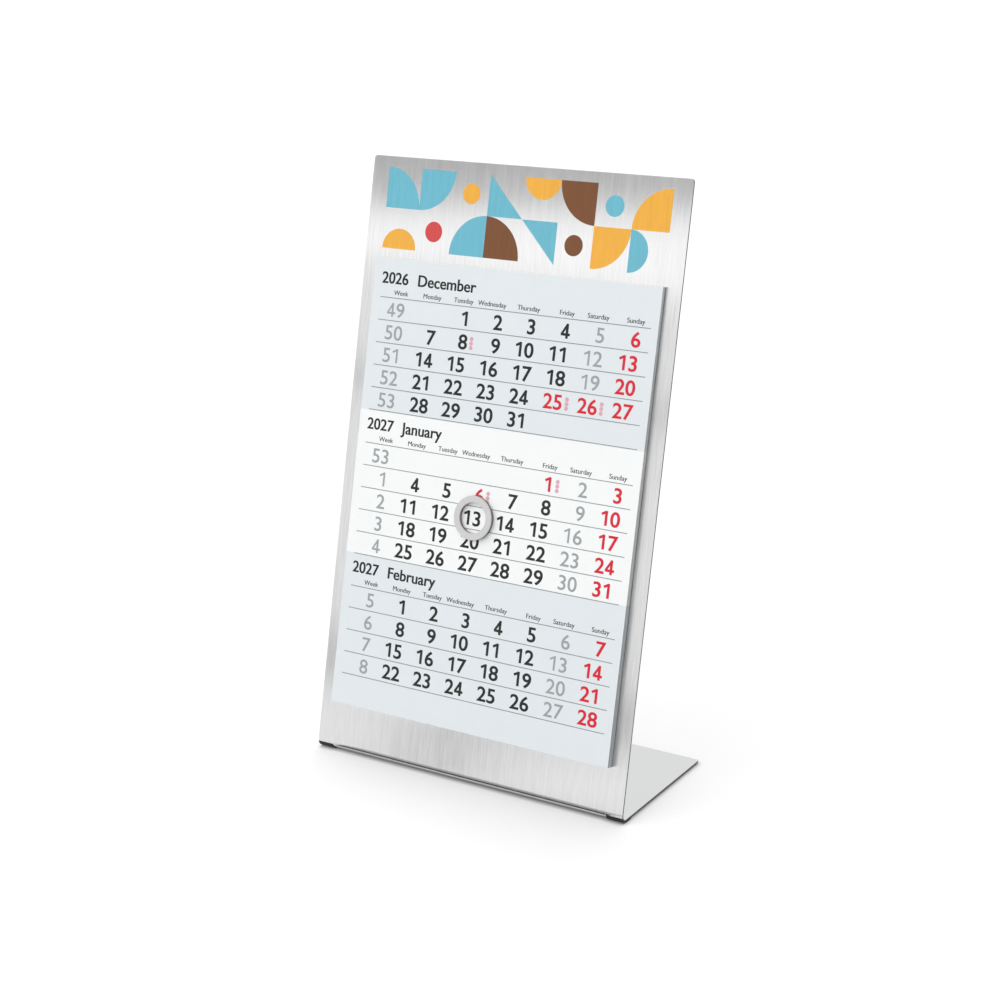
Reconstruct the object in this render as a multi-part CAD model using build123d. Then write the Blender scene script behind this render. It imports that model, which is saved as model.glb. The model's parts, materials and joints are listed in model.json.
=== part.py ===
from build123d import *
import math
import os

# A desk calendar: a tear-off pad of three-month sheets on a bent steel stand,
# with a magnetic ring that marks the day. Millimetres and degrees, +Z up,
# the printed face looks towards -Y, left and right are as seen from there.

# Pad: loose sheets, gummed along the head on a card
PAD_WIDTH = 95.0
PAD_HEIGHT = 131.5
SHEET_COUNT = 12
PAPER_THICKNESS = 0.08
PAPER_GAP = 0.005
PAD_SPRING = 1.0  # how far the loose foot of the front sheet stands off the stack
CARD_THICKNESS = 0.25
GUM_THICKNESS = 0.25

# Adhesive strips that hold the card on the steel
TAPE_THICKNESS = 0.1
TAPE_WIDTH = 12.0
TAPE_INSET = 5.0

# Stand: one strip of sheet steel with a single bend, as wide as the pad and its margins
SIDE_MARGIN = 5.0
LOWER_MARGIN = 12.6
HEADER_HEIGHT = 29.4
STEEL_THICKNESS = 0.5
FACE_LEAN = 15.0
BEND_RADIUS = 1.5
BASE_LENGTH = 42.5
FACE_CORNER_RADIUS = 1.0
BASE_CORNER_RADIUS = 1.0
EDGE_BREAK = 0.1
SMOOTH_ANGLE = 5.0  # edges that turn by less are left as they are

# Feet: thin rubber pads, the front pair flush with the sides and drawn up round the bend
FOOT_HEIGHT = 0.4
FOOT_WIDTH = 5.3
FOOT_EDGE_RADIUS = 0.12
FRONT_FOOT_LENGTH = 2.5  # behind the bend
FRONT_FOOT_WRAP = 75.0  # round the bend, from its lowest line
FRONT_FOOT_LIP = 0.05  # thickness left at the upper edge
FRONT_FOOT_CLEARANCE = 0.02
REAR_FOOT_LENGTH = 9.0
REAR_FOOT_CORNER_RADIUS = 1.2
REAR_FOOT_INSET = 3.0

# Day marker: a ring of magnetic rubber under a thin cover ring
MARKER_OUTER_DIAMETER = 12.7
MARKER_INNER_DIAMETER = 8.8
MAGNET_THICKNESS = 0.8
COVER_THICKNESS = 0.3
COVER_EDGE_RADIUS = 0.1
MARKER_CLEARANCE = 0.05
MARKER_ACROSS_SHARE = -0.044  # of the pad's width, from its middle
MARKER_RISE_SHARE = 0.467  # of the pad's height, from its foot

# Sizes that follow
stand_width = PAD_WIDTH + 2 * SIDE_MARGIN
face_length = LOWER_MARGIN + PAD_HEIGHT + HEADER_HEIGHT
bend_outer_radius = BEND_RADIUS + STEEL_THICKNESS
sheet_pitch = PAPER_THICKNESS + PAPER_GAP
stack_height = CARD_THICKNESS + SHEET_COUNT * sheet_pitch
hinge_lift = TAPE_THICKNESS + stack_height
head_rise = LOWER_MARGIN + PAD_HEIGHT
front_tilt = math.degrees(math.asin(PAD_SPRING / PAD_HEIGHT))
sheet_tilt_step = front_tilt / (SHEET_COUNT - 1)
marker_across = MARKER_ACROSS_SHARE * PAD_WIDTH
marker_rise = MARKER_RISE_SHARE * PAD_HEIGHT

# The stand's profile lies in the YZ plane, with the bend's centre at y = 0
lean = math.radians(FACE_LEAN)
face_normal = Vector(0, -math.cos(lean), math.sin(lean))
face_up = Vector(0, math.sin(lean), math.cos(lean))
bend_middle = (face_normal + Vector(0, 0, -1)).normalized()
bend_centre = Vector(0, 0, FOOT_HEIGHT + bend_outer_radius)

# On the face plane x runs across, y up the slope from the bend, z off the steel
face_plane = Plane(
    origin=bend_centre + face_normal * bend_outer_radius,
    x_dir=(1, 0, 0),
    z_dir=face_normal,
)
# The sheets turn about the front of the glued head, y runs up from there
head_plane = face_plane * Pos(0, head_rise, hinge_lift)


def is_sharp(edge, solid):
    """True where the two faces beside an edge don't run smoothly into each other."""
    beside = [face for face in solid.faces() if edge in face.edges()]
    first, second = [face.normal_at(edge.center()) for face in beside]
    return first.get_angle(second) > SMOOTH_ANGLE


def make_stand():
    """The bent strip, with rounded corners and broken edges."""
    low = Vector(0, 0, FOOT_HEIGHT)
    rear = Vector(0, BASE_LENGTH, 0)
    steel = Vector(0, 0, STEEL_THICKNESS)
    face_foot = bend_centre + face_normal * bend_outer_radius
    face_head = face_foot + face_up * face_length
    through = face_normal * STEEL_THICKNESS
    profile = Wire(
        [
            Edge.make_line(low + rear, low),
            Edge.make_three_point_arc(low, bend_centre + bend_middle * bend_outer_radius, face_foot),
            Edge.make_line(face_foot, face_head),
            Edge.make_line(face_head, face_head - through),
            Edge.make_line(face_head - through, face_foot - through),
            Edge.make_three_point_arc(
                face_foot - through, bend_centre + bend_middle * BEND_RADIUS, low + steel
            ),
            Edge.make_line(low + steel, low + steel + rear),
            Edge.make_line(low + steel + rear, low + rear),
        ]
    )
    strip = extrude(Face(profile), amount=stand_width / 2, dir=(1, 0, 0), both=True)
    top_end = strip.faces().sort_by(Axis.Z)[-1]
    strip = fillet(top_end.edges().filter_by(Axis.X, reverse=True), FACE_CORNER_RADIUS)
    rear_end = strip.faces().filter_by(Axis.Y).sort_by(Axis.Y)[-1]
    strip = fillet(rear_end.edges().filter_by(Axis.Z), BASE_CORNER_RADIUS)
    return fillet([edge for edge in strip.edges() if is_sharp(edge, strip)], EDGE_BREAK)


def make_front_foot(side):
    """A pad under one end of the bend, drawn up its front to a thin lip: side is -1 or 1."""
    wrap = math.radians(FRONT_FOOT_WRAP)
    forward = Vector(0, -1, 0)
    towards_lip = Vector(0, -math.sin(wrap), -math.cos(wrap))
    lip_inside = bend_centre + towards_lip * (bend_outer_radius + FRONT_FOOT_CLEARANCE)
    lip_outside = lip_inside + towards_lip * FRONT_FOOT_LIP
    low = Vector(0, 0, 0)
    seat = Vector(0, 0, FOOT_HEIGHT)
    tail = Vector(0, FRONT_FOOT_LENGTH, 0)
    profile = Wire(
        [
            Edge.make_tangent_arc(seat, forward, lip_inside),
            Edge.make_line(lip_inside, lip_outside),
            Edge.make_tangent_arc(low, forward, lip_outside),
            Edge.make_line(low, tail),
            Edge.make_line(tail, tail + seat),
            Edge.make_line(tail + seat, seat),
        ]
    )
    pad = extrude(Face(profile), amount=FOOT_WIDTH / 2, dir=(1, 0, 0), both=True)
    tail_end = pad.faces().filter_by(Axis.Y).sort_by(Axis.Y)[-1]
    pad = fillet(tail_end.edges().sort_by(Axis.Z)[0], FOOT_EDGE_RADIUS)
    return Pos(side * (stand_width - FOOT_WIDTH) / 2, 0, 0) * pad


def make_rear_foot(side):
    """A flat pad under one rear corner of the base: side is -1 or 1."""
    across = side * (stand_width / 2 - REAR_FOOT_INSET - FOOT_WIDTH / 2)
    along = BASE_LENGTH - REAR_FOOT_INSET - REAR_FOOT_LENGTH / 2
    outline = RectangleRounded(FOOT_WIDTH, REAR_FOOT_LENGTH, REAR_FOOT_CORNER_RADIUS)
    pad = extrude(Pos(across, along, 0) * outline, amount=FOOT_HEIGHT)
    return fillet(pad.faces().sort_by(Axis.Z)[0].edges(), FOOT_EDGE_RADIUS)


def make_tape(rise):
    """A strip of double-sided adhesive between the steel and the card."""
    length = PAD_WIDTH - 2 * TAPE_INSET
    strip = Box(length, TAPE_WIDTH, TAPE_THICKNESS, align=(Align.CENTER, Align.MIN, Align.MIN))
    return face_plane * Pos(0, rise, 0) * strip


def make_card():
    """The card that backs the pad."""
    card = Box(PAD_WIDTH, PAD_HEIGHT, CARD_THICKNESS, align=(Align.CENTER, Align.MIN, Align.MIN))
    return face_plane * Pos(0, LOWER_MARGIN, TAPE_THICKNESS) * card


def make_gum():
    """The strip of gum along the head that binds the sheets to the card."""
    strip = Box(PAD_WIDTH, GUM_THICKNESS, stack_height, align=(Align.CENTER, Align.MIN, Align.MAX))
    return head_plane * strip


def make_sheet(place):
    """One month sheet, place 1 in front; the stack fans out slightly towards its foot."""
    tilt = (SHEET_COUNT - place) * sheet_tilt_step
    leaf = Box(PAD_WIDTH, PAD_HEIGHT, PAPER_THICKNESS, align=(Align.CENTER, Align.MAX, Align.MAX))
    return head_plane * Rot(X=-tilt) * Pos(0, 0, (1 - place) * sheet_pitch) * leaf


def make_marker_ring(lift, thickness):
    """A flat ring on the front sheet, lift above its face."""
    outline = Circle(MARKER_OUTER_DIAMETER / 2) - Circle(MARKER_INNER_DIAMETER / 2)
    ring = extrude(outline, amount=thickness)
    spot = Pos(marker_across, marker_rise - PAD_HEIGHT, MARKER_CLEARANCE + lift)
    return head_plane * Rot(X=-front_tilt) * spot, ring


def make_marker_magnet():
    """The magnetic rubber ring that holds through the paper."""
    seat, ring = make_marker_ring(0, MAGNET_THICKNESS)
    return seat * ring


def make_marker_cover():
    """The cover ring on the magnet, with rounded upper edges."""
    seat, ring = make_marker_ring(MAGNET_THICKNESS, COVER_THICKNESS)
    rounded = fillet(ring.faces().sort_by(Axis.Z)[-1].edges(), COVER_EDGE_RADIUS)
    return seat * rounded


def make_nodes():
    """Every piece by its name, with the bend's centre still at y = 0."""
    nodes = {"stand": make_stand()}
    for side, side_name in ((-1, "left"), (1, "right")):
        nodes[f"foot_front_{side_name}"] = make_front_foot(side)
        nodes[f"foot_rear_{side_name}"] = make_rear_foot(side)
    nodes["mounting_tape_lower"] = make_tape(LOWER_MARGIN + TAPE_INSET)
    nodes["mounting_tape_upper"] = make_tape(head_rise - TAPE_INSET - TAPE_WIDTH)
    nodes["backing_card"] = make_card()
    nodes["binding_gum"] = make_gum()
    for place in range(1, SHEET_COUNT + 1):
        nodes[f"sheet_{place:02d}"] = make_sheet(place)
    nodes["marker_magnet"] = make_marker_magnet()
    nodes["marker_cover"] = make_marker_cover()
    return nodes


# The origin is on the desk, under the middle of the stand
nodes = make_nodes()
to_origin = Pos(0, -nodes["stand"].bounding_box().center().Y, 0)
os.makedirs("parts", exist_ok=True)
for name, solid in nodes.items():
    export_step(to_origin * solid, f"parts/{name}.step")

print("head hinge at", (to_origin * head_plane).position)
print("front sheet tilt", front_tilt)
print("marker centre across", marker_across)
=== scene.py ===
import datetime
import json
import math

import bpy
from mathutils import Matrix, Vector


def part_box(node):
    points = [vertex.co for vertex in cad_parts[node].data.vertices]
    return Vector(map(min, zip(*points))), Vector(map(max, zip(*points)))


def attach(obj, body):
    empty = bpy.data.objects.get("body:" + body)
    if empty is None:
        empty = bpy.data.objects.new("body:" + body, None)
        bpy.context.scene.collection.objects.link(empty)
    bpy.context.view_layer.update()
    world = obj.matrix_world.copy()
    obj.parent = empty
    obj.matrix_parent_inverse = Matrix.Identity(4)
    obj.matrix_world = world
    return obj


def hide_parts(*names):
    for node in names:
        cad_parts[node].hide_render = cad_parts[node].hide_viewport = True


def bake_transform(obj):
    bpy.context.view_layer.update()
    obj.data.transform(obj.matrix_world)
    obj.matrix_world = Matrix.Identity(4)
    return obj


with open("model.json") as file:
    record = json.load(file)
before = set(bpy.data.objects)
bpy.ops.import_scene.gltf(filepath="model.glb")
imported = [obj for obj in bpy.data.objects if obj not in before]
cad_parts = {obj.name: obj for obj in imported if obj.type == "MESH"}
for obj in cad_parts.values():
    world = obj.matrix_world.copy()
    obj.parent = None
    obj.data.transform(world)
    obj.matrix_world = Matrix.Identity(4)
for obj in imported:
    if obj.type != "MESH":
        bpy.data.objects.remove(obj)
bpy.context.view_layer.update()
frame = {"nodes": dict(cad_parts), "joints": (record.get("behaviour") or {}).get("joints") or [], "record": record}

MM = 0.001

# Where the pad and the face lie, from the frame
sheet_low, sheet_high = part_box("sheet_01")
stand_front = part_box("stand")[0].y
head_hinge = Vector(next(joint["pos_m"] for joint in frame["joints"] if joint["name"] == "sheet_02_lift"))
FACE_LEAN = math.radians(15)
STEEL_BEHIND_HINGE = 1.37 * MM
BEND_OUTER_RADIUS = 2 * MM
CUT_EDGE_FACING = 0.5  # share of a face's direction that points sideways
INNER_FACING = 0.5  # share of a face's direction that points into the bend
face_turn = math.pi / 2 - FACE_LEAN  # about X, lays a flat drawing on the leaning face
face_out = Vector((0, -math.cos(FACE_LEAN), math.sin(FACE_LEAN)))
into_bend = (Vector((0, 0, 1)) - face_out).normalized()

# Sheets: flat drawings with the head at y = 0, the foot at negative y and the printed side up
SHEET_COUNT = 12
SHEET_HEIGHT = 131.5 * MM
SHEET_PITCH = 0.085 * MM
PAPER_THICKNESS = 0.08 * MM
PAD_SPRING = 1 * MM
CURL_LENGTH = 3.4 * MM  # below the head, where a lifted sheet bends
CURL_ROWS = 12
sheet_width = sheet_high.x - sheet_low.x
front_tilt = math.asin(PAD_SPRING / SHEET_HEIGHT)
BAND_FEET = (44.22 * MM, 86.5 * MM)  # below the head, where the month's background changes
BACK_FACING = -0.5  # share of a face's direction that points to the printed side

# Print on a sheet: three months, each hung from its first rule
INK_LIFT = 0.004 * MM
STROKE_DROP = 0.0005 * MM  # from one stroke to the next that overlaps it
PRINTED_YEAR = 2027
FIRST_RULES = (11.19 * MM, 53.77 * MM, 96.17 * MM)
RULE_LEFT = -44.6 * MM
RULE_RIGHT = 45.2 * MM
RULE_THICKNESS = 0.24 * MM
ROW_PITCH = 6.56 * MM
ROWS_IN_BAND = 5
DIGIT_DROP = 3.42 * MM  # from a rule to the middle of the numbers under it
DIGIT_HEIGHT = 4.1 * MM
DIGIT_ADVANCE = 3.22 * MM
DIGIT_STRETCH = 1.08
WEEK_RIGHT = -35.5 * MM
MONDAY_RIGHT = -24.0 * MM
COLUMN_PITCH = 11.1 * MM
TITLE_RISE = 4.1 * MM
TITLE_HEIGHT = 3.2 * MM
YEAR_LEFT = -44.7 * MM
MONTH_LEFT = -32.2 * MM
LABEL_RISE = 0.9 * MM
LABEL_HEIGHT = 1.35 * MM
LABEL_OVERHANG = 0.6 * MM  # past the right edge of the numbers
MARK_GAP = 1.3 * MM
MARK_RADIUS = 0.62 * MM
MARK_PITCH = 1.25 * MM
MARK_STEPS = 3
MARK_EDGES = 16
MONTH_NAMES = ("January", "February", "March", "April", "May", "June", "July", "August", "September",
               "October", "November", "December")
DAY_NAMES = ("Monday", "Tuesday", "Wednesday", "Thursday", "Friday", "Saturday", "Sunday")
WEEK_NAME = "Week"
SATURDAY = 5
SUNDAY = 6
RED_DAYS = {(1, 1), (1, 6), (12, 25), (12, 26)}
MARKED_DAYS = RED_DAYS | {(12, 8)}
DAYS_IN_WEEK = 7
MONTHS_IN_YEAR = 12
HIGHEST_NUMBER = 53  # the last week of a long year

# The built-in font, per unit of its size
FONT_CAP_SHARE = 0.682
FONT_DIGIT_SHARE = 0.691
FONT_CURVE_STEPS = 4
TITLE_WEIGHT_SHARE = 0.012
TITLE_STRIKE = 0.14 * MM  # a heading is struck twice, this far apart
LABEL_STRIKE = 0.07 * MM
BOLD_STRIKE = 0.07 * MM
LIGHT_STRIKE = 0.04 * MM
BOLD_WEIGHT_SHARE = 0.016
LIGHT_WEIGHT_SHARE = 0.007
BOLD_STROKE = 0.83 * MM
LIGHT_STROKE = 0.63 * MM

# Letters and numerals drawn in strokes, because a heavier outline would fill them
M_WIDTH_SHARE = 0.781  # of the font's size, as are the places of the strokes
M_STROKE_SHARE = 0.1
M_STROKES = (
    ((0.122, 0), (0.122, 0.682)), ((0.66, 0), (0.66, 0.682)),
    ((0.14, 0.63), (0.391, 0.315)), ((0.642, 0.63), (0.391, 0.315)),
)
ONE_STEM_SHARE = 0.62  # of the numeral's cell, from its left
ONE_FLAG_DROP = 0.2 * MM  # below the numeral's head
ONE_FLAG_FALL = 0.85 * MM
ONE_FLAG_REACH = 1.5 * MM
ONE_FLAG_OVERLAP = 0.12 * MM
FOUR_STEM_SHARE = 0.66
FOUR_BAR_SHARE = 0.27  # of the numeral's height
FOUR_BAR_LEFT = 0.22 * MM
FOUR_BAR_RIGHT = 0.08 * MM  # short of the cell's right side
FOUR_SLANT_LEFT = 0.42 * MM
FOUR_SLANT_DROP = 0.25 * MM
CROSS_STROKE_SHARE = 0.88  # of the stem's thickness
SLANT_STROKE_SHARE = 0.85

# Panel printed on the steel above the pad
PANEL_TILE = 11.7 * MM
PANEL_COLUMNS = 8
PANEL_ROWS = 2
PANEL_FOOT = 2.96 * MM  # above the pad's head
PANEL_INK_THICKNESS = 0.01 * MM
PANEL_INK_LIFT = 0.015 * MM  # from the steel to the face of the ink
PANEL_DISC_SHARE = 0.5  # of a tile
DISC_EDGES = 96


def activate(piece):
    """Selects one object alone and makes it the active one."""
    bpy.ops.object.select_all(action="DESELECT")
    piece.select_set(True)
    bpy.context.view_layer.objects.active = piece


def apply_place(piece):
    """Puts the object's place into its mesh."""
    activate(piece)
    bpy.ops.object.transform_apply(location=True, rotation=True, scale=True)


def join_pieces(pieces, name):
    """One object from several, with their places in its mesh."""
    bpy.ops.object.select_all(action="DESELECT")
    for piece in pieces:
        piece.select_set(True)
    bpy.context.view_layer.objects.active = pieces[0]
    if len(pieces) > 1:
        bpy.ops.object.join()
    joined = pieces[0]
    joined.name = name
    apply_place(joined)
    return joined


def cut(piece, point, normal, drop=False):
    """Cuts a mesh along a plane, and drops what lies on the normal's side if asked to."""
    activate(piece)
    bpy.ops.object.mode_set(mode="EDIT")
    bpy.ops.mesh.select_all(action="SELECT")
    bpy.ops.mesh.bisect(plane_co=point, plane_no=normal, clear_outer=drop)
    bpy.ops.object.mode_set(mode="OBJECT")


def thicken(piece, thickness):
    """Gives a flat drawing its thickness, below its face."""
    activate(piece)
    wall = piece.modifiers.new("thickness", "SOLIDIFY")
    wall.thickness = thickness
    wall.offset = -1
    bpy.ops.object.modifier_apply(modifier=wall.name)


def paint(piece, material):
    """Gives the whole piece one finish."""
    piece.data.materials.clear()
    piece.data.materials.append(material)


# Materials

NOISE_LOW = 0.3  # where most of a noise begins and ends
NOISE_HIGH = 0.7


def new_finish(name):
    """A material with its node tree and its surface shader."""
    material = bpy.data.materials.new(name)
    material.use_nodes = True
    tree = material.node_tree
    return material, tree, tree.nodes["Principled BSDF"]


def grain(tree, cells, detail):
    """Noise on Object coordinates, with so many cells per metre along X, Y and Z."""
    place = tree.nodes.new("ShaderNodeTexCoord")
    mapping = tree.nodes.new("ShaderNodeMapping")
    noise = tree.nodes.new("ShaderNodeTexNoise")
    mapping.inputs["Scale"].default_value = cells
    noise.inputs["Scale"].default_value = 1
    noise.inputs["Detail"].default_value = detail
    tree.links.new(place.outputs["Object"], mapping.inputs["Vector"])
    tree.links.new(mapping.outputs["Vector"], noise.inputs["Vector"])
    return noise.outputs["Fac"]


def spread(tree, value, low, high):
    """Maps the noise's usual range to low..high."""
    ranged = tree.nodes.new("ShaderNodeMapRange")
    ranged.inputs["From Min"].default_value = NOISE_LOW
    ranged.inputs["From Max"].default_value = NOISE_HIGH
    ranged.inputs["To Min"].default_value = low
    ranged.inputs["To Max"].default_value = high
    tree.links.new(value, ranged.inputs["Value"])
    return ranged.outputs["Result"]


def combine(tree, first, second, share):
    """Mixes two noises, share of the second."""
    mixed = tree.nodes.new("ShaderNodeMix")
    mixed.inputs["Factor"].default_value = share
    tree.links.new(first, mixed.inputs["A"])
    tree.links.new(second, mixed.inputs["B"])
    return mixed.outputs["Result"]


def shade(tree, value, dark, light):
    """A colour between dark and light, led by a noise."""
    mixed = tree.nodes.new("ShaderNodeMix")
    mixed.data_type = "RGBA"
    mixed.inputs["A"].default_value = (*dark, 1)
    mixed.inputs["B"].default_value = (*light, 1)
    tree.links.new(spread(tree, value, 0, 1), mixed.inputs["Factor"])
    return mixed.outputs["Result"]


def dress(tree, surface, noise, dark, light, smooth, rough):
    """Leads a surface's colour and its roughness by one noise."""
    tree.links.new(shade(tree, noise, dark, light), surface.inputs["Base Color"])
    tree.links.new(spread(tree, noise, smooth, rough), surface.inputs["Roughness"])


def emboss(tree, surface, height, depth, strength):
    """Bump on a surface shader, depth in metres."""
    bump = tree.nodes.new("ShaderNodeBump")
    bump.inputs["Distance"].default_value = depth
    bump.inputs["Strength"].default_value = strength
    tree.links.new(height, bump.inputs["Height"])
    tree.links.new(bump.outputs["Normal"], surface.inputs["Normal"])


def scaled(colour, factor):
    """A colour made darker or lighter."""
    return tuple(channel * factor for channel in colour)


def brushed_steel():
    """Stainless sheet, brushed along the strip: fine lines, wider bands and a smeared gloss."""
    material, tree, surface = new_finish("brushed_steel")
    fine = grain(tree, cells=(2600, 110, 110), detail=4)
    wide = grain(tree, cells=(320, 50, 50), detail=3)
    streaks = combine(tree, fine, wide, share=0.33)
    dress(tree, surface, streaks, dark=(0.67, 0.67, 0.675), light=(0.79, 0.79, 0.79), smooth=0.16, rough=0.22)
    tangent = tree.nodes.new("ShaderNodeTangent")
    tangent.direction_type = "RADIAL"
    tangent.axis = "X"
    tree.links.new(tangent.outputs["Tangent"], surface.inputs["Tangent"])
    surface.inputs["Metallic"].default_value = 1
    surface.inputs["Anisotropic"].default_value = 1
    surface.inputs["Anisotropic Rotation"].default_value = 0.25
    return material


def sheared_steel():
    """The strip's cut edges: dull, and painted much darker than steel, as painted shade for the dark they mirror
    at the sides.
    """
    material, tree, surface = new_finish("sheared_steel")
    drag = grain(tree, cells=(900, 1400, 1400), detail=3)
    dress(tree, surface, drag, dark=(0.07, 0.07, 0.072), light=(0.13, 0.13, 0.132), smooth=0.42, rough=0.56)
    surface.inputs["Metallic"].default_value = 0.8
    emboss(tree, surface, drag, depth=0.01 * MM, strength=0.3)
    return material


def rolled_steel():
    """The strip's inner side, left as it was rolled: even, with a soft gloss."""
    material, tree, surface = new_finish("rolled_steel")
    mill = grain(tree, cells=(700, 160, 160), detail=3)
    dark, light = (0.684, 0.695, 0.69), (0.696, 0.707, 0.702)
    dress(tree, surface, mill, dark, light, smooth=0.28, rough=0.34)
    surface.inputs["Metallic"].default_value = 1
    return material


def black_rubber(name, colour, roughness):
    """Moulded or rolled rubber with a fine dull skin."""
    material, tree, surface = new_finish(name)
    skin = grain(tree, cells=(2600, 2600, 2600), detail=3)
    dark, light = scaled(colour, 0.8), scaled(colour, 1.25)
    dress(tree, surface, skin, dark, light, smooth=roughness - 0.06, rough=roughness + 0.06)
    emboss(tree, surface, skin, depth=0.03 * MM, strength=0.3)
    return material


def fibre_sheet(name, colour, variation):
    """Paper or board: short fibres and a cloudy body."""
    material, tree, surface = new_finish(name)
    cloud = grain(tree, cells=(160, 160, 160), detail=3)
    fibre = grain(tree, cells=(2400, 700, 700), detail=4)
    body = combine(tree, cloud, fibre, share=0.55)
    dark, light = scaled(colour, 1 - variation), scaled(colour, 1 + variation)
    tree.links.new(shade(tree, body, dark, light), surface.inputs["Base Color"])
    tree.links.new(spread(tree, fibre, low=0.8, high=0.9), surface.inputs["Roughness"])
    surface.inputs["Specular IOR Level"].default_value = 0.25
    emboss(tree, surface, fibre, depth=0.01 * MM, strength=0.2)
    return material


def printing_ink(name, colour):
    """A film of ink, slightly uneven in density."""
    material, tree, surface = new_finish(name)
    density = grain(tree, cells=(900, 900, 900), detail=3)
    dark, light = scaled(colour, 0.94), scaled(colour, 1.06)
    dress(tree, surface, density, dark, light, smooth=0.55, rough=0.65)
    surface.inputs["Specular IOR Level"].default_value = 0.3
    return material


def print_on_steel(name, colour):
    """A film of ink on the brushed face, whose lines show through."""
    material, tree, surface = new_finish(name)
    lines = grain(tree, cells=(1500, 110, 110), detail=3)
    dark, light = scaled(colour, 0.95), scaled(colour, 1.05)
    dress(tree, surface, lines, dark, light, smooth=0.3, rough=0.42)
    surface.inputs["Specular IOR Level"].default_value = 0.3
    return material


def clear_film(name, colour):
    """Adhesive film or dried gum: smooth, with faint waves."""
    material, tree, surface = new_finish(name)
    wave = grain(tree, cells=(420, 420, 420), detail=2)
    dress(tree, surface, wave, dark=scaled(colour, 0.95), light=colour, smooth=0.3, rough=0.45)
    emboss(tree, surface, wave, depth=0.05 * MM, strength=0.3)
    return material


def silver_cover():
    """Matte silver film on the marker ring, with a fine sparkle."""
    material, tree, surface = new_finish("silver_cover")
    sparkle = grain(tree, cells=(5200, 5200, 5200), detail=2)
    dark, light = (0.58, 0.57, 0.575), (0.70, 0.685, 0.69)
    dress(tree, surface, sparkle, dark, light, smooth=0.42, rough=0.56)
    surface.inputs["Metallic"].default_value = 0.35
    return material


steel = brushed_steel()
cut_steel = sheared_steel()
inner_steel = rolled_steel()
foot_rubber = black_rubber("foot_rubber", (0.012, 0.012, 0.013), roughness=0.7)
magnet_rubber = black_rubber("magnet_rubber", (0.2, 0.195, 0.19), roughness=0.6)
white_paper = fibre_sheet("white_paper", (0.925, 0.94, 0.94), variation=0.012)
tinted_paper = fibre_sheet("tinted_paper", (0.768, 0.812, 0.836), variation=0.012)
grey_board = fibre_sheet("grey_board", (0.42, 0.40, 0.37), variation=0.12)
tape_film = clear_film("tape_film", (0.80, 0.79, 0.72))
dried_gum = clear_film("dried_gum", (0.86, 0.86, 0.82))
cover_film = silver_cover()
black_ink = printing_ink("black_ink", (0.018, 0.021, 0.021))
grey_ink = printing_ink("grey_ink", (0.34, 0.37, 0.38))
red_ink = printing_ink("red_ink", (0.70, 0.012, 0.034))
pink_ink = printing_ink("pink_ink", (0.73, 0.40, 0.49))
rule_ink = printing_ink("rule_ink", (0.24, 0.26, 0.27))
turquoise_ink = print_on_steel("turquoise_ink", (0.147, 0.49, 0.62))
orange_ink = print_on_steel("orange_ink", (0.89, 0.44, 0.045))
brown_ink = print_on_steel("brown_ink", (0.21, 0.076, 0.023))
coral_ink = print_on_steel("coral_ink", (0.68, 0.06, 0.06))


def finish_construction():
    """Finishes on the pieces that keep their own shape."""
    finishes = {
        "steel": steel,
        "foot_rubber": foot_rubber,
        "tape": tape_film,
        "card": grey_board,
        "gum": dried_gum,
        "magnet": magnet_rubber,
        "marker": cover_film,
    }
    for subpart in frame["record"]["subparts"]:
        if subpart["material_slot"] in finishes:
            paint(frame["nodes"][subpart["node"]], finishes[subpart["material_slot"]])
    stand = frame["nodes"]["stand"]
    stand.data.materials.append(cut_steel)
    stand.data.materials.append(inner_steel)
    for face in stand.data.polygons:
        # Sideways faces, and the sideways part of each rounded edge, take the cut edges' painted shade
        if abs(face.normal.x) > CUT_EDGE_FACING:
            face.material_index = 1
        elif face.normal.dot(into_bend) > INNER_FACING:
            face.material_index = 2


# Sheets of the pad


def make_leaf():
    """A blank sheet, its front tinted above and below the middle month, with rows where it can curl."""
    bpy.ops.object.select_all(action="DESELECT")
    bpy.ops.mesh.primitive_plane_add(size=1, location=(0, -SHEET_HEIGHT / 2, 0))
    leaf = bpy.context.object
    leaf.scale = (sheet_width, SHEET_HEIGHT, 1)
    apply_place(leaf)
    curl_rows = [CURL_LENGTH * row / CURL_ROWS for row in range(1, CURL_ROWS + 1)]
    for drop in (*curl_rows, *BAND_FEET):
        cut(leaf, (0, -drop, 0), (0, 1, 0))
    thicken(leaf, PAPER_THICKNESS)
    leaf.data.materials.append(tinted_paper)
    leaf.data.materials.append(white_paper)
    for face in leaf.data.polygons:
        in_middle = BAND_FEET[0] < -face.center.y < BAND_FEET[1]
        at_back = face.normal.z < BACK_FACING
        face.material_index = int(in_middle or at_back)
    return leaf


def lay_on_pad(piece, place, lift=0.0):
    """Lays a flat drawing where a sheet lies, place 1 in front, and puts that into its mesh."""
    tilt = front_tilt * (SHEET_COUNT - place) / (SHEET_COUNT - 1)
    turn = Matrix.Rotation(face_turn - tilt, 4, "X")
    lowered = Vector((0, 0, lift - (place - 1) * SHEET_PITCH))
    piece.matrix_world = Matrix.Translation(head_hinge) @ turn @ Matrix.Translation(lowered)
    apply_place(piece)


def copy_of(mesh, name, place=(0, 0, 0)):
    """A new object with its own copy of a mesh."""
    made = bpy.data.objects.new(name, mesh.copy())
    bpy.context.scene.collection.objects.link(made)
    made.location = place
    return made


# Numbers and words


def write(text, height_share, height, weight_share=0.0):
    """A word or number as a flat mesh, its left foot at the origin; a weight makes its strokes heavier."""
    bpy.ops.object.select_all(action="DESELECT")
    bpy.ops.object.text_add()
    word = bpy.context.object
    word.data.body = text
    word.data.size = height / height_share
    word.data.offset = word.data.size * weight_share
    word.data.resolution_u = FONT_CURVE_STEPS
    bpy.ops.object.convert(target="MESH")
    return bpy.context.object


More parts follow.
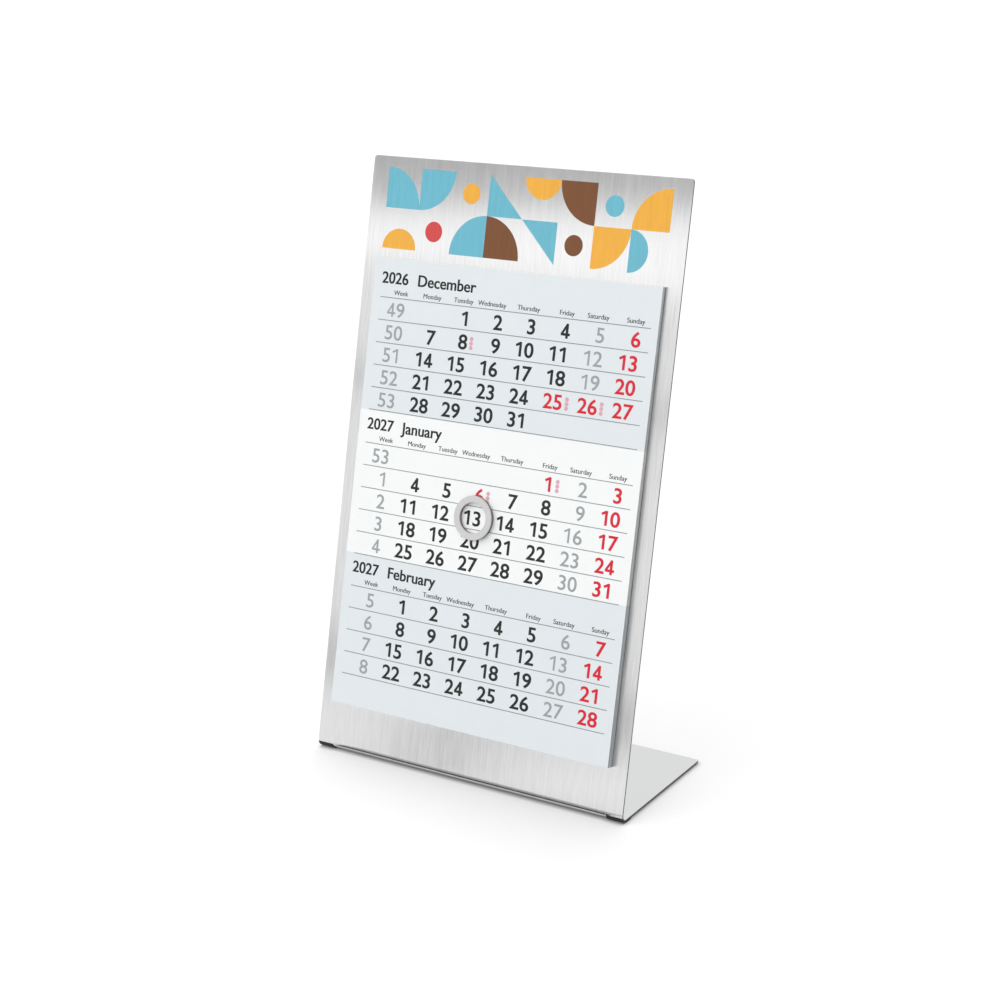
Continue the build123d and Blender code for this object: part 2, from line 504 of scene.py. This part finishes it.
def write_heavy(text):
    """A word in heavy letters; a first M is drawn in strokes, because a heavier outline would fill it."""
    if not text.startswith("M"):
        return write(text, FONT_CAP_SHARE, TITLE_HEIGHT, TITLE_WEIGHT_SHARE)
    size = TITLE_HEIGHT / FONT_CAP_SHARE
    thickness = (M_STROKE_SHARE + 2 * TITLE_WEIGHT_SHARE) * size
    strokes = [bar(Vector(start) * size, Vector(end) * size, thickness) for start, end in M_STROKES]
    rest = write(text[1:], FONT_CAP_SHARE, TITLE_HEIGHT, TITLE_WEIGHT_SHARE)
    rest.location.x = M_WIDTH_SHARE * size
    return join_pieces([rest, join_strokes(strokes, text)], text)


def strike_twice(word, step):
    """Sets a word again a little to the right, for its weight."""
    depth = word.dimensions.z + STROKE_DROP
    second = copy_of(word.data, word.name, (step, 0, -depth))
    return join_pieces([word, second], word.name)


def bar(start, end, thickness):
    """A straight stroke of ink."""
    run = Vector(end) - Vector(start)
    middle = (Vector(start) + Vector(end)) / 2
    bpy.ops.object.select_all(action="DESELECT")
    bpy.ops.mesh.primitive_plane_add(size=1, location=(middle.x, middle.y, 0))
    stroke = bpy.context.object
    stroke.rotation_euler.z = math.atan2(run.y, run.x)
    stroke.scale = (run.length, thickness, 1)
    apply_place(stroke)
    return stroke


def join_strokes(strokes, name):
    """Joins strokes that overlap, each a hair under the one before it."""
    for layer, stroke in enumerate(strokes):
        stroke.location.z = -layer * STROKE_DROP
    return join_pieces(strokes, name)


def make_disc(radius, edges):
    """A flat disc."""
    bpy.ops.object.select_all(action="DESELECT")
    bpy.ops.mesh.primitive_circle_add(vertices=edges, radius=radius, fill_type="NGON")
    return bpy.context.object


def make_digit(character, weight_share, strike, stroke):
    """One numeral, its cell's left foot at the origin."""
    if character == "1":
        stem = DIGIT_ADVANCE * ONE_STEM_SHARE
        top = DIGIT_HEIGHT - ONE_FLAG_DROP
        flag_start = (stem - ONE_FLAG_REACH, top - ONE_FLAG_FALL)
        strokes = [
            bar((stem, 0), (stem, DIGIT_HEIGHT), stroke),
            bar(flag_start, (stem + ONE_FLAG_OVERLAP, top), stroke * CROSS_STROKE_SHARE),
        ]
        return join_strokes(strokes, "digit_1")
    if character == "4":
        stem = DIGIT_ADVANCE * FOUR_STEM_SHARE
        rise = DIGIT_HEIGHT * FOUR_BAR_SHARE
        slant_end = (stem, DIGIT_HEIGHT - FOUR_SLANT_DROP)
        strokes = [
            bar((stem, 0), (stem, DIGIT_HEIGHT), stroke),
            bar((FOUR_BAR_LEFT, rise), (DIGIT_ADVANCE - FOUR_BAR_RIGHT, rise), stroke * CROSS_STROKE_SHARE),
            bar((FOUR_SLANT_LEFT, rise), slant_end, stroke * SLANT_STROKE_SHARE),
        ]
        return join_strokes(strokes, "digit_4")
    digit = write(character, FONT_DIGIT_SHARE, DIGIT_HEIGHT, weight_share)
    digit.scale.x = DIGIT_STRETCH
    apply_place(digit)
    return strike_twice(digit, strike)


def make_numbers(name, weight_share, strike, stroke):
    """Every day and week number of one weight, each with its right foot at the origin."""
    digits = {}
    for character in "0123456789":
        digits[character] = make_digit(character, weight_share, strike, stroke)
    numbers = {}
    for value in range(1, HIGHEST_NUMBER + 1):
        text = str(value)
        cells = []
        for column, character in enumerate(text):
            left = (column - len(text)) * DIGIT_ADVANCE
            cells.append(copy_of(digits[character].data, "digit", (left, 0, 0)))
        numbers[name, value] = join_pieces(cells, f"{name}_{value}")
    for digit in digits.values():
        bpy.data.objects.remove(digit)
    return numbers


def make_type():
    """Everything that the months are set from: numbers, words, a rule and a dot."""
    drawn = make_numbers("bold", BOLD_WEIGHT_SHARE, BOLD_STRIKE, BOLD_STROKE)
    drawn |= make_numbers("light", LIGHT_WEIGHT_SHARE, LIGHT_STRIKE, LIGHT_STROKE)
    for year in (PRINTED_YEAR - 1, PRINTED_YEAR, PRINTED_YEAR + 1):
        drawn["year", year] = strike_twice(write_heavy(str(year)), TITLE_STRIKE)
    for name in MONTH_NAMES:
        drawn["month", name] = strike_twice(write_heavy(name), TITLE_STRIKE)
    for name in (WEEK_NAME, *DAY_NAMES):
        label = write(name, FONT_CAP_SHARE, LABEL_HEIGHT)
        drawn["label", name] = strike_twice(label, LABEL_STRIKE)
    drawn["rule", 0] = bar((RULE_LEFT, 0), (RULE_RIGHT, 0), RULE_THICKNESS)
    drawn["mark", 0] = make_disc(MARK_RADIUS, MARK_EDGES)
    return drawn


def print_month(year, month, first_rule, drawn):
    """One month: its title, day names, rules, week numbers and days, as flat pieces."""
    first_day = datetime.date(year, month, 1)
    next_month = datetime.date(year + month // MONTHS_IN_YEAR, month % MONTHS_IN_YEAR + 1, 1)
    day_count = (next_month - first_day).days
    weeks = math.ceil((first_day.weekday() + day_count) / DAYS_IN_WEEK)
    pitch = ROW_PITCH * min(1, ROWS_IN_BAND / weeks)
    title_foot = TITLE_RISE - first_rule
    label_foot = LABEL_RISE - first_rule
    number_foot = -first_rule - DIGIT_DROP * pitch / ROW_PITCH - DIGIT_HEIGHT / 2
    inked = []

    def lay(kind, value, ink, x, y):
        piece = copy_of(drawn[kind, value].data, kind, (x, y, 0))
        paint(piece, ink)
        inked.append(piece)

    def lay_label(name, right):
        width = drawn["label", name].dimensions.x
        lay("label", name, black_ink, right + LABEL_OVERHANG - width, label_foot)

    lay("year", year, black_ink, YEAR_LEFT, title_foot)
    lay("month", MONTH_NAMES[month - 1], black_ink, MONTH_LEFT, title_foot)
    lay_label(WEEK_NAME, WEEK_RIGHT)
    for weekday, name in enumerate(DAY_NAMES):
        lay_label(name, MONDAY_RIGHT + weekday * COLUMN_PITCH)
    for row in range(weeks + 1):
        lay("rule", 0, rule_ink, 0, -first_rule - row * pitch)
    for row in range(weeks):
        monday = first_day + datetime.timedelta(days=DAYS_IN_WEEK * row - first_day.weekday())
        lay("light", monday.isocalendar()[1], grey_ink, WEEK_RIGHT, number_foot - row * pitch)
    for day in range(1, day_count + 1):
        row, weekday = divmod(first_day.weekday() + day - 1, DAYS_IN_WEEK)
        right = MONDAY_RIGHT + weekday * COLUMN_PITCH
        foot = number_foot - row * pitch
        if weekday == SUNDAY or (month, day) in RED_DAYS:
            lay("bold", day, red_ink, right, foot)
        elif weekday == SATURDAY:
            lay("light", day, grey_ink, right, foot)
        else:
            lay("bold", day, black_ink, right, foot)
        if (month, day) in MARKED_DAYS:
            for step in range(MARK_STEPS):
                lay("mark", 0, pink_ink, right + MARK_GAP, foot + MARK_RADIUS + step * MARK_PITCH)
    return inked


def make_pad():
    """Twelve printed sheets, each tilted a little out from its glued head, the front one furthest."""
    blank = make_leaf()
    drawn = make_type()
    for place in range(1, SHEET_COUNT + 1):
        node = f"sheet_{place:02d}"
        leaf = copy_of(blank.data, f"{node}_leaf")
        lay_on_pad(leaf, place)
        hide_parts(node)
        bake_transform(leaf)
        inked = []
        for band, first_rule in enumerate(FIRST_RULES):
            # The first sheet has January in its middle band
            year, month = divmod(PRINTED_YEAR * MONTHS_IN_YEAR + (place - 1) + (band - 1), MONTHS_IN_YEAR)
            inked += print_month(year, month + 1, first_rule, drawn)
        ink = join_pieces(inked, f"{node}_print")
        lay_on_pad(ink, place, INK_LIFT)
        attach(ink, node)
    for template in (blank, *drawn.values()):
        bpy.data.objects.remove(template)


# Panel above the pad


def make_motif(shape):
    """One flat motif in a tile around the origin."""
    half = PANEL_TILE / 2
    if shape == "quarter":
        motif = make_disc(PANEL_TILE, DISC_EDGES)
        cut(motif, (0, 0, 0), (-1, 0, 0), drop=True)
        cut(motif, (0, 0, 0), (0, -1, 0), drop=True)
        motif.location = (-half, -half, 0)
    elif shape == "half":
        motif = make_disc(half, DISC_EDGES)
        cut(motif, (0, 0, 0), (0, 1, 0), drop=True)
        motif.location = (0, half, 0)
    elif shape == "disc":
        motif = make_disc(half * PANEL_DISC_SHARE, DISC_EDGES)
    else:
        bpy.ops.object.select_all(action="DESELECT")
        bpy.ops.mesh.primitive_plane_add(size=PANEL_TILE)
        motif = bpy.context.object
        cut(motif, (0, 0, 0), (1, 1, 0), drop=True)
    apply_place(motif)
    return motif


def make_panel():
    """Two rows of plain geometric tiles on the bare steel."""
    layout = (
        ("quarter", 0, turquoise_ink), ("quarter", 3, turquoise_ink), ("disc", 0, orange_ink),
        ("triangle", 0, turquoise_ink), ("half", 0, orange_ink), ("quarter", 2, brown_ink),
        ("disc", 0, turquoise_ink), ("quarter", 1, orange_ink),
        ("half", 2, orange_ink), ("disc", 0, coral_ink), ("quarter", 1, turquoise_ink),
        ("quarter", 0, brown_ink), ("triangle", 2, turquoise_ink), ("disc", 0, brown_ink),
        ("quarter", 3, orange_ink), ("half", 1, turquoise_ink),
    )
    tiles = []
    for number, (shape, quarter_turns, ink) in enumerate(layout):
        column, row = number % PANEL_COLUMNS, number // PANEL_COLUMNS
        tile = make_motif(shape)
        tile.rotation_euler.z = quarter_turns * math.pi / 2
        across = (column - (PANEL_COLUMNS - 1) / 2) * PANEL_TILE
        rise = (PANEL_ROWS - row - 0.5) * PANEL_TILE
        tile.location = (across, PANEL_FOOT + rise, 0)
        paint(tile, ink)
        tiles.append(tile)
    panel = join_pieces(tiles, "header_print")
    thicken(panel, PANEL_INK_THICKNESS)
    steel_face = head_hinge - face_out * STEEL_BEHIND_HINGE
    lifted = Vector((0, 0, PANEL_INK_LIFT))
    turn = Matrix.Rotation(face_turn, 4, "X")
    panel.matrix_world = Matrix.Translation(steel_face) @ turn @ Matrix.Translation(lifted)
    apply_place(panel)
    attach(panel, "stand")


# Stage: floor, light and camera

FLOOR_SIZE = 8
FLOOR_COLOUR = 0.4
FLOOR_GLOW = 0.58
SHADOW_REACH = 40 * MM
SHADOW_SHARE = 0.65
CONTACT_REACH = 1.6 * MM
CONTACT_SHARE = 0.9
OCCLUSION_SAMPLES = 8
LEFT_LIGHT = 2.03
RIGHT_LIGHT = 0.05
LEFT_LIGHT_END = -0.5  # share of a direction that points to the right
RIGHT_LIGHT_START = 0.9

# The steel mirrors cards and weak lights, which stand upright before the part, off to the left
MIRROR_AZIMUTH = math.radians(33)
MIRROR_DISTANCE = 500 * MM
FOOT_CARD_DISTANCE = 150 * MM
LIGHT_BEHIND = 5 * MM
CARD_GREY = 0.8
FOOT_CARD_GREY = 0.4
HEADER_LIGHT_POWER = 0.053
FOOT_LIGHT_POWER = 0.0035

# The width and height of each, and its place: across, above the floor and slanted
UPPER_CARD_SIZE = (800 * MM, 250 * MM)
UPPER_CARD_PLACE = (-39 * MM, 412 * MM, math.radians(13.3))
HEADER_LIGHT_SIZE = (600 * MM, 80 * MM)
HEADER_LIGHT_PLACE = (-5 * MM, 295 * MM, math.radians(6))
MIDDLE_CARD_SIZE = (800 * MM, 9 * MM)
MIDDLE_CARD_PLACE = (3 * MM, 191.6 * MM, math.radians(6))
LOWER_CARD_SIZE = (800 * MM, 22 * MM)
LOWER_CARD_PLACE = (24 * MM, 40.4 * MM, math.radians(0.94))
FOOT_CARD_SIZE = (18 * MM, 16 * MM)
FOOT_CARD_PLACE = (8 * MM, 8.5 * MM, 0)
FOOT_LIGHT_SIZE = (600 * MM, 12 * MM)
FOOT_LIGHT_PLACE = (30 * MM, 11 * MM, 0)

# Dark strips that lie before the bend, where the floor is in shade, and paint that shade into the bend's
# reflection as its lines: how far off each begins and ends, and its grey
BEND_STRIP_LENGTH = 94 * MM
BEND_STRIP_HEIGHT = 0.02 * MM
BEND_SHADOW_LINE = (0.85 * MM, 2.4 * MM, 0.02)
BEND_SHADE = (2.4 * MM, 5 * MM, 0.3)
BEND_SHADOW_FADE = (5 * MM, 60 * MM, 0.5)


def seen_rays(tree):
    """1 for rays from the camera and for those that metal or glass sends on."""
    path = tree.nodes.new("ShaderNodeLightPath")
    total = path.outputs["Is Camera Ray"]
    for ray in ("Is Glossy Ray", "Is Transmission Ray"):
        larger = tree.nodes.new("ShaderNodeMath")
        larger.operation = "MAXIMUM"
        tree.links.new(total, larger.inputs[0])
        tree.links.new(path.outputs[ray], larger.inputs[1])
        total = larger.outputs["Value"]
    return total


def shadowed(tree, light, reach, share):
    """Takes up to a share of the light away where something stands within reach."""
    near = tree.nodes.new("ShaderNodeAmbientOcclusion")
    near.samples = OCCLUSION_SAMPLES
    near.inputs["Distance"].default_value = reach
    left = tree.nodes.new("ShaderNodeMapRange")
    left.inputs["To Min"].default_value = 1 - share
    left.inputs["To Max"].default_value = 1
    kept = tree.nodes.new("ShaderNodeMath")
    kept.operation = "MULTIPLY"
    tree.links.new(near.outputs["AO"], left.inputs["Value"])
    tree.links.new(left.outputs["Result"], kept.inputs[0])
    tree.links.new(light, kept.inputs[1])
    return kept.outputs["Value"]


def make_floor():
    """A plain pale floor that shows white and keeps the shadow."""
    bpy.ops.object.select_all(action="DESELECT")
    bpy.ops.mesh.primitive_plane_add(size=FLOOR_SIZE)
    floor = bpy.context.object
    floor.name = "floor"
    material, tree, surface = new_finish("pale_floor")
    surface.inputs["Base Color"].default_value = (FLOOR_COLOUR, FLOOR_COLOUR, FLOOR_COLOUR, 1)
    surface.inputs["Roughness"].default_value = 1
    surface.inputs["Specular IOR Level"].default_value = 0
    surface.inputs["Emission Color"].default_value = (FLOOR_GLOW, FLOOR_GLOW, FLOOR_GLOW, 1)
    under_part = shadowed(tree, seen_rays(tree), SHADOW_REACH, SHADOW_SHARE)
    at_contact = shadowed(tree, under_part, CONTACT_REACH, CONTACT_SHARE)
    tree.links.new(at_contact, surface.inputs["Emission Strength"])
    paint(floor, material)


def make_world():
    """White surroundings where they are seen, and a plain soft light elsewhere, weaker from the right."""
    world = bpy.data.worlds.new("studio")
    bpy.context.scene.world = world
    world.use_nodes = True
    tree = world.node_tree
    background = tree.nodes["Background"]
    background.inputs["Color"].default_value = (1, 1, 1, 1)
    place = tree.nodes.new("ShaderNodeTexCoord")
    split = tree.nodes.new("ShaderNodeSeparateXYZ")
    tree.links.new(place.outputs["Generated"], split.inputs["Vector"])
    ambient = tree.nodes.new("ShaderNodeMapRange")
    ambient.interpolation_type = "SMOOTHSTEP"
    ambient.inputs["From Min"].default_value = LEFT_LIGHT_END
    ambient.inputs["From Max"].default_value = RIGHT_LIGHT_START
    ambient.inputs["To Min"].default_value = LEFT_LIGHT
    ambient.inputs["To Max"].default_value = RIGHT_LIGHT
    tree.links.new(split.outputs["X"], ambient.inputs["Value"])
    choose = tree.nodes.new("ShaderNodeMix")
    choose.inputs["B"].default_value = 1
    tree.links.new(seen_rays(tree), choose.inputs["Factor"])
    tree.links.new(ambient.outputs["Result"], choose.inputs["A"])
    tree.links.new(choose.outputs["Result"], background.inputs["Strength"])


def upright(distance, across, height, slant):
    """A place before the part that looks at it, turned in its own plane by the slant."""
    side = Vector((math.cos(MIRROR_AZIMUTH), -math.sin(MIRROR_AZIMUTH), 0))
    out = Vector((-math.sin(MIRROR_AZIMUTH), -math.cos(MIRROR_AZIMUTH), 0))
    turn = Matrix((side, (0, 0, 1), out)).transposed().to_4x4()
    place = out * distance + side * across + Vector((0, 0, height))
    return Matrix.Translation(place) @ turn @ Matrix.Rotation(slant, 4, "Z")


def add_lamp(name, place, size, power):
    """A soft lamp that the camera doesn't see."""
    lamp = bpy.data.lights.new(name, "AREA")
    lamp.shape = "RECTANGLE"
    lamp.size, lamp.size_y = size
    lamp.energy = power
    placed = bpy.data.objects.new(name, lamp)
    bpy.context.scene.collection.objects.link(placed)
    placed.matrix_world = place
    placed.visible_camera = False


def add_card(name, place, size, grey):
    """A grey card that only metal sees."""
    bpy.ops.object.select_all(action="DESELECT")
    bpy.ops.mesh.primitive_plane_add(size=1)
    card = bpy.context.object
    card.name = name
    card.matrix_world = place @ Matrix.Diagonal((*size, 1, 1))
    apply_place(card)
    material, _, surface = new_finish(name)
    surface.inputs["Base Color"].default_value = (grey, grey, grey, 1)
    surface.inputs["Roughness"].default_value = 1
    surface.inputs["Specular IOR Level"].default_value = 0
    paint(card, material)
    card.visible_camera = False
    card.visible_diffuse = False
    card.visible_shadow = False


def light_steel():
    """Cards and lights for the bare steel round the pad, and dark strips on the floor that paint shade into the
    bend's reflection.
    """
    cards = {
        "upper_card": (MIRROR_DISTANCE, UPPER_CARD_PLACE, UPPER_CARD_SIZE, CARD_GREY),
        "middle_card": (MIRROR_DISTANCE, MIDDLE_CARD_PLACE, MIDDLE_CARD_SIZE, CARD_GREY),
        "lower_card": (MIRROR_DISTANCE, LOWER_CARD_PLACE, LOWER_CARD_SIZE, CARD_GREY),
        "foot_card": (FOOT_CARD_DISTANCE, FOOT_CARD_PLACE, FOOT_CARD_SIZE, FOOT_CARD_GREY),
    }
    for name, (distance, place, size, grey) in cards.items():
        add_card(name, upright(distance, *place), size, grey)
    lights = {
        "header_light": (HEADER_LIGHT_PLACE, HEADER_LIGHT_SIZE, HEADER_LIGHT_POWER),
        "foot_light": (FOOT_LIGHT_PLACE, FOOT_LIGHT_SIZE, FOOT_LIGHT_POWER),
    }
    for name, (place, size, power) in lights.items():
        add_lamp(name, upright(MIRROR_DISTANCE + LIGHT_BEHIND, *place), size, power)
    # Painted shade: dark strips that only metal sees, where the floor before the bend lies in shade
    strips = {"bend_shadow_line": BEND_SHADOW_LINE, "bend_shade": BEND_SHADE, "bend_shadow_fade": BEND_SHADOW_FADE}
    for name, (begin, end, grey) in strips.items():
        lying = Matrix.Translation((0, stand_front - (begin + end) / 2, BEND_STRIP_HEIGHT))
        add_card(name, lying, (BEND_STRIP_LENGTH, end - begin), grey)


# The camera, as solved from the stand's edges in the photograph
CAMERA_FOCAL_PIXELS = 2140.268  # in a picture this wide
PICTURE_PIXELS = 1000
SENSOR_WIDTH = 36
CAMERA_AZIMUTH = math.radians(33.89123)
CAMERA_ELEVATION = math.radians(18.89422)
CAMERA_ROLL = math.radians(-2.34802)
CAMERA_DISTANCE = 586.79256 * MM
CAMERA_ACROSS = -12.70548 * MM
CAMERA_RISE = 4.10733 * MM
AIM_HEIGHT = 90 * MM


def make_camera():
    """The camera at the photograph's angle, aimed above the bend."""
    aim = Vector((0, stand_front + BEND_OUTER_RADIUS, AIM_HEIGHT))
    right = Vector((math.cos(CAMERA_AZIMUTH), math.sin(CAMERA_AZIMUTH), 0))
    level_back = Vector((right.y, -right.x, 0))
    back = level_back * math.cos(CAMERA_ELEVATION) + Vector((0, 0, math.sin(CAMERA_ELEVATION)))
    up = back.cross(right)
    rolled_right = right * math.cos(CAMERA_ROLL) + up * math.sin(CAMERA_ROLL)
    rolled_up = up * math.cos(CAMERA_ROLL) - right * math.sin(CAMERA_ROLL)
    place = aim - rolled_right * CAMERA_ACROSS - rolled_up * CAMERA_RISE + back * CAMERA_DISTANCE
    lens = bpy.data.cameras.new("camera")
    lens.sensor_width = SENSOR_WIDTH
    lens.lens = CAMERA_FOCAL_PIXELS * SENSOR_WIDTH / PICTURE_PIXELS
    camera = bpy.data.objects.new("camera", lens)
    bpy.context.scene.collection.objects.link(camera)
    turn = Matrix((rolled_right, rolled_up, back)).transposed().to_4x4()
    camera.matrix_world = Matrix.Translation(place) @ turn
    bpy.context.scene.camera = camera


finish_construction()
make_pad()
make_panel()
make_floor()
make_world()
light_steel()
make_camera()
bpy.context.scene.view_settings.view_transform = "Standard"
